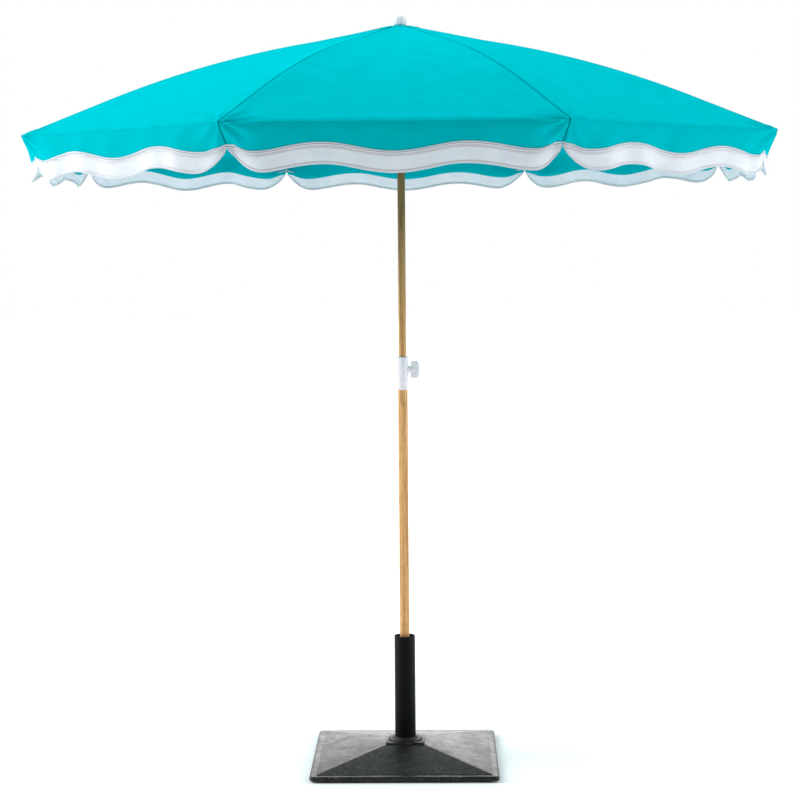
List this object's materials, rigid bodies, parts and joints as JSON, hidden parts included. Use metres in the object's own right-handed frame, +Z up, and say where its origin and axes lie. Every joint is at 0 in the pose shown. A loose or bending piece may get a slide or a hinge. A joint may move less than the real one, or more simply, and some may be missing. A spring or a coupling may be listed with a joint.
{
  "type": "beach umbrella",
  "caption": "Free-standing octagonal beach umbrella with a wavy valance, folding ribs on a sliding runner, a height-adjustable pole and a weighted square base.",
  "frame": {"origin": "on the ground, under the middle of the base", "axes": "+Z up along the pole; the middles of panels face +X, -X, +Y and -Y; the sleeve's knob points to +X"},
  "size_m": [2.0326, 2.0326, 2.1641],
  "materials": {
    "canopy_cloth": "matte",
    "band_cloth": "matte",
    "white_plastic": "satin",
    "black_plastic": "matte",
    "base_plastic": "matte",
    "pole_wood_look": "satin",
    "black_steel": "satin",
    "rib_steel": "gloss",
    "zinc_steel": "satin",
    "brass": "satin",
    "concrete": "matte",
    "rubber": "matte"
  },
  "bodies": {
    "base": {"base_shell": "base_plastic", "base_weight": "concrete", "base_bottom": "base_plastic", "bottom_screws": "zinc_steel", "base_feet": "rubber", "base_flange": "black_plastic", "base_tube": "black_steel", "tube_plug": "black_steel", "base_bolt": "zinc_steel", "knob_nut": "black_steel"},
    "tube_clamp": {"tube_knob": "black_plastic", "tube_screw": "zinc_steel"},
    "bush": {"pole_bush": "black_plastic"},
    "lower": {"lower_pole": "pole_wood_look", "pole_foot": "black_plastic", "height_sleeve": "white_plastic", "sleeve_insert": "brass"},
    "height_clamp": {"height_knob": "white_plastic", "height_screw": "zinc_steel"},
    "upper": {"upper_pole": "pole_wood_look", "pole_plug": "zinc_steel", "crown": "white_plastic", "crown_ring": "zinc_steel", "finial": "white_plastic", "apex_cap": "canopy_cloth", "runner_catch": "zinc_steel"},
    "slider": {"runner": "white_plastic"},
    "rib1": {"rib_1": "rib_steel"},
    "strut1": {"stretcher_1": "rib_steel"},
    "cloth1": {"panel_1": "canopy_cloth"},
    "flap1": {"valance_1": "band_cloth"},
    "rib2": {"rib_2": "rib_steel"},
    "strut2": {"stretcher_2": "rib_steel"},
    "cloth2": {"panel_2": "canopy_cloth"},
    "flap2": {"valance_2": "band_cloth"},
    "rib3": {"rib_3": "rib_steel"},
    "strut3": {"stretcher_3": "rib_steel"},
    "cloth3": {"panel_3": "canopy_cloth"},
    "flap3": {"valance_3": "band_cloth"},
    "rib4": {"rib_4": "rib_steel"},
    "strut4": {"stretcher_4": "rib_steel"},
    "cloth4": {"panel_4": "canopy_cloth"},
    "flap4": {"valance_4": "band_cloth"},
    "rib5": {"rib_5": "rib_steel"},
    "strut5": {"stretcher_5": "rib_steel"},
    "cloth5": {"panel_5": "canopy_cloth"},
    "flap5": {"valance_5": "band_cloth"},
    "rib6": {"rib_6": "rib_steel"},
    "strut6": {"stretcher_6": "rib_steel"},
    "cloth6": {"panel_6": "canopy_cloth"},
    "flap6": {"valance_6": "band_cloth"},
    "rib7": {"rib_7": "rib_steel"},
    "strut7": {"stretcher_7": "rib_steel"},
    "cloth7": {"panel_7": "canopy_cloth"},
    "flap7": {"valance_7": "band_cloth"},
    "rib8": {"rib_8": "rib_steel"},
    "strut8": {"stretcher_8": "rib_steel"},
    "cloth8": {"panel_8": "canopy_cloth"},
    "flap8": {"valance_8": "band_cloth"}
  },
  "joints": [
    {"name": "umbrella_turn", "type": "hinge", "parent": "base", "child": "bush", "pos_m": [0, 0, 0.2], "axis": [0, 0, 1], "continuous": true},
    {"name": "pole_lift", "type": "slide", "parent": "bush", "child": "lower", "axis": [0, 0, 1], "range_m": [0, 0.3]},
    {"name": "pole_height", "type": "slide", "parent": "lower", "child": "upper", "axis": [0, 0, 1], "range_m": [-0.12, 0.15]},
    {"name": "canopy_fold", "type": "slide", "parent": "upper", "child": "slider", "axis": [0, 0, 1], "range_m": [-0.6009, 0], "deforming": ["runner_catch"]},
    {"name": "height_clamp_turn", "type": "hinge", "parent": "lower", "child": "height_clamp", "pos_m": [0.025, 0, 1.134], "axis": [1, 0, 0], "range_deg": [0, 360]},
    {"name": "tube_clamp_turn", "type": "hinge", "parent": "base", "child": "tube_clamp", "pos_m": [0, 0.045, 0.315], "axis": [0, 1, 0], "range_deg": [0, 360]},
    {"name": "rib_turn_1", "type": "hinge", "parent": "upper", "child": "rib1", "pos_m": [0.02032, 0.00842, 2.112], "axis": [-0.3827, 0.9239, 0], "range_deg": [0, 68.1]},
    {"name": "stretcher_turn_1", "type": "hinge", "parent": "rib1", "child": "strut1", "pos_m": [0.3677, 0.15231, 2.035], "axis": [-0.3827, 0.9239, 0], "range_deg": [-136.2, 0]},
    {"name": "panel_turn_1", "type": "hinge", "parent": "upper", "child": "cloth1", "pos_m": [0.0203, 0, 2.112], "axis": [0, 1, 0], "range_deg": [0, 66.7], "deforming": ["panel_1"]},
    {"name": "valance_turn_1", "type": "hinge", "parent": "cloth1", "child": "flap1", "pos_m": [1.01127, 0, 1.79881], "axis": [0, 1, 0], "range_deg": [-72.1, 0], "deforming": ["valance_1"]},
    {"name": "rib_turn_2", "type": "hinge", "parent": "upper", "child": "rib2", "pos_m": [0.00842, 0.02032, 2.112], "axis": [-0.9239, 0.3827, 0], "range_deg": [0, 68.1]},
    {"name": "stretcher_turn_2", "type": "hinge", "parent": "rib2", "child": "strut2", "pos_m": [0.15231, 0.3677, 2.035], "axis": [-0.9239, 0.3827, 0], "range_deg": [-136.2, 0]},
    {"name": "panel_turn_2", "type": "hinge", "parent": "upper", "child": "cloth2", "pos_m": [0.01435, 0.01435, 2.112], "axis": [-0.7071, 0.7071, 0], "range_deg": [0, 66.7], "deforming": ["panel_2"]},
    {"name": "valance_turn_2", "type": "hinge", "parent": "cloth2", "child": "flap2", "pos_m": [0.71507, 0.71507, 1.79881], "axis": [-0.7071, 0.7071, 0], "range_deg": [-72.1, 0], "deforming": ["valance_2"]},
    {"name": "rib_turn_3", "type": "hinge", "parent": "upper", "child": "rib3", "pos_m": [-0.00842, 0.02032, 2.112], "axis": [-0.9239, -0.3827, 0], "range_deg": [0, 68.1]},
    {"name": "stretcher_turn_3", "type": "hinge", "parent": "rib3", "child": "strut3", "pos_m": [-0.15231, 0.3677, 2.035], "axis": [-0.9239, -0.3827, 0], "range_deg": [-136.2, 0]},
    {"name": "panel_turn_3", "type": "hinge", "parent": "upper", "child": "cloth3", "pos_m": [0, 0.0203, 2.112], "axis": [-1, 0, 0], "range_deg": [0, 66.7], "deforming": ["panel_3"]},
    {"name": "valance_turn_3", "type": "hinge", "parent": "cloth3", "child": "flap3", "pos_m": [0, 1.01127, 1.79881], "axis": [-1, 0, 0], "range_deg": [-72.1, 0], "deforming": ["valance_3"]},
    {"name": "rib_turn_4", "type": "hinge", "parent": "upper", "child": "rib4", "pos_m": [-0.02032, 0.00842, 2.112], "axis": [-0.3827, -0.9239, 0], "range_deg": [0, 68.1]},
    {"name": "stretcher_turn_4", "type": "hinge", "parent": "rib4", "child": "strut4", "pos_m": [-0.3677, 0.15231, 2.035], "axis": [-0.3827, -0.9239, 0], "range_deg": [-136.2, 0]},
    {"name": "panel_turn_4", "type": "hinge", "parent": "upper", "child": "cloth4", "pos_m": [-0.01435, 0.01435, 2.112], "axis": [-0.7071, -0.7071, 0], "range_deg": [0, 66.7], "deforming": ["panel_4"]},
    {"name": "valance_turn_4", "type": "hinge", "parent": "cloth4", "child": "flap4", "pos_m": [-0.71507, 0.71507, 1.79881], "axis": [-0.7071, -0.7071, 0], "range_deg": [-72.1, 0], "deforming": ["valance_4"]},
    {"name": "rib_turn_5", "type": "hinge", "parent": "upper", "child": "rib5", "pos_m": [-0.02032, -0.00842, 2.112], "axis": [0.3827, -0.9239, 0], "range_deg": [0, 68.1]},
    {"name": "stretcher_turn_5", "type": "hinge", "parent": "rib5", "child": "strut5", "pos_m": [-0.3677, -0.15231, 2.035], "axis": [0.3827, -0.9239, 0], "range_deg": [-136.2, 0]},
    {"name": "panel_turn_5", "type": "hinge", "parent": "upper", "child": "cloth5", "pos_m": [-0.0203, 0, 2.112], "axis": [0, -1, 0], "range_deg": [0, 66.7], "deforming": ["panel_5"]},
    {"name": "valance_turn_5", "type": "hinge", "parent": "cloth5", "child": "flap5", "pos_m": [-1.01127, 0, 1.79881], "axis": [0, -1, 0], "range_deg": [-72.1, 0], "deforming": ["valance_5"]},
    {"name": "rib_turn_6", "type": "hinge", "parent": "upper", "child": "rib6", "pos_m": [-0.00842, -0.02032, 2.112], "axis": [0.9239, -0.3827, 0], "range_deg": [0, 68.1]},
    {"name": "stretcher_turn_6", "type": "hinge", "parent": "rib6", "child": "strut6", "pos_m": [-0.15231, -0.3677, 2.035], "axis": [0.9239, -0.3827, 0], "range_deg": [-136.2, 0]},
    {"name": "panel_turn_6", "type": "hinge", "parent": "upper", "child": "cloth6", "pos_m": [-0.01435, -0.01435, 2.112], "axis": [0.7071, -0.7071, 0], "range_deg": [0, 66.7], "deforming": ["panel_6"]},
    {"name": "valance_turn_6", "type": "hinge", "parent": "cloth6", "child": "flap6", "pos_m": [-0.71507, -0.71507, 1.79881], "axis": [0.7071, -0.7071, 0], "range_deg": [-72.1, 0], "deforming": ["valance_6"]},
    {"name": "rib_turn_7", "type": "hinge", "parent": "upper", "child": "rib7", "pos_m": [0.00842, -0.02032, 2.112], "axis": [0.9239, 0.3827, 0], "range_deg": [0, 68.1]},
    {"name": "stretcher_turn_7", "type": "hinge", "parent": "rib7", "child": "strut7", "pos_m": [0.15231, -0.3677, 2.035], "axis": [0.9239, 0.3827, 0], "range_deg": [-136.2, 0]},
    {"name": "panel_turn_7", "type": "hinge", "parent": "upper", "child": "cloth7", "pos_m": [0, -0.0203, 2.112], "axis": [1, 0, 0], "range_deg": [0, 66.7], "deforming": ["panel_7"]},
    {"name": "valance_turn_7", "type": "hinge", "parent": "cloth7", "child": "flap7", "pos_m": [0, -1.01127, 1.79881], "axis": [1, 0, 0], "range_deg": [-72.1, 0], "deforming": ["valance_7"]},
    {"name": "rib_turn_8", "type": "hinge", "parent": "upper", "child": "rib8", "pos_m": [0.02032, -0.00842, 2.112], "axis": [0.3827, 0.9239, 0], "range_deg": [0, 68.1]},
    {"name": "stretcher_turn_8", "type": "hinge", "parent": "rib8", "child": "strut8", "pos_m": [0.3677, -0.15231, 2.035], "axis": [0.3827, 0.9239, 0], "range_deg": [-136.2, 0]},
    {"name": "panel_turn_8", "type": "hinge", "parent": "upper", "child": "cloth8", "pos_m": [0.01435, -0.01435, 2.112], "axis": [0.7071, 0.7071, 0], "range_deg": [0, 66.7], "deforming": ["panel_8"]},
    {"name": "valance_turn_8", "type": "hinge", "parent": "cloth8", "child": "flap8", "pos_m": [0.71507, -0.71507, 1.79881], "axis": [0.7071, 0.7071, 0], "range_deg": [-72.1, 0], "deforming": ["valance_8"]}
  ],
  "couplings": [
    {"joint": "rib_turn_1", "follows": "canopy_fold", "rad_per_m": -1.9751},
    {"joint": "stretcher_turn_1", "follows": "canopy_fold", "rad_per_m": 3.9502},
    {"joint": "panel_turn_1", "follows": "canopy_fold", "rad_per_m": -1.9344},
    {"joint": "valance_turn_1", "follows": "canopy_fold", "rad_per_m": 2.0913},
    {"joint": "rib_turn_2", "follows": "canopy_fold", "rad_per_m": -1.9751},
    {"joint": "stretcher_turn_2", "follows": "canopy_fold", "rad_per_m": 3.9502},
    {"joint": "panel_turn_2", "follows": "canopy_fold", "rad_per_m": -1.9344},
    {"joint": "valance_turn_2", "follows": "canopy_fold", "rad_per_m": 2.0913},
    {"joint": "rib_turn_3", "follows": "canopy_fold", "rad_per_m": -1.9751},
    {"joint": "stretcher_turn_3", "follows": "canopy_fold", "rad_per_m": 3.9502},
    {"joint": "panel_turn_3", "follows": "canopy_fold", "rad_per_m": -1.9344},
    {"joint": "valance_turn_3", "follows": "canopy_fold", "rad_per_m": 2.0913},
    {"joint": "rib_turn_4", "follows": "canopy_fold", "rad_per_m": -1.9751},
    {"joint": "stretcher_turn_4", "follows": "canopy_fold", "rad_per_m": 3.9502},
    {"joint": "panel_turn_4", "follows": "canopy_fold", "rad_per_m": -1.9344},
    {"joint": "valance_turn_4", "follows": "canopy_fold", "rad_per_m": 2.0913},
    {"joint": "rib_turn_5", "follows": "canopy_fold", "rad_per_m": -1.9751},
    {"joint": "stretcher_turn_5", "follows": "canopy_fold", "rad_per_m": 3.9502},
    {"joint": "panel_turn_5", "follows": "canopy_fold", "rad_per_m": -1.9344},
    {"joint": "valance_turn_5", "follows": "canopy_fold", "rad_per_m": 2.0913},
    {"joint": "rib_turn_6", "follows": "canopy_fold", "rad_per_m": -1.9751},
    {"joint": "stretcher_turn_6", "follows": "canopy_fold", "rad_per_m": 3.9502},
    {"joint": "panel_turn_6", "follows": "canopy_fold", "rad_per_m": -1.9344},
    {"joint": "valance_turn_6", "follows": "canopy_fold", "rad_per_m": 2.0913},
    {"joint": "rib_turn_7", "follows": "canopy_fold", "rad_per_m": -1.9751},
    {"joint": "stretcher_turn_7", "follows": "canopy_fold", "rad_per_m": 3.9502},
    {"joint": "panel_turn_7", "follows": "canopy_fold", "rad_per_m": -1.9344},
    {"joint": "valance_turn_7", "follows": "canopy_fold", "rad_per_m": 2.0913},
    {"joint": "rib_turn_8", "follows": "canopy_fold", "rad_per_m": -1.9751},
    {"joint": "stretcher_turn_8", "follows": "canopy_fold", "rad_per_m": 3.9502},
    {"joint": "panel_turn_8", "follows": "canopy_fold", "rad_per_m": -1.9344},
    {"joint": "valance_turn_8", "follows": "canopy_fold", "rad_per_m": 2.0913}
  ]
}
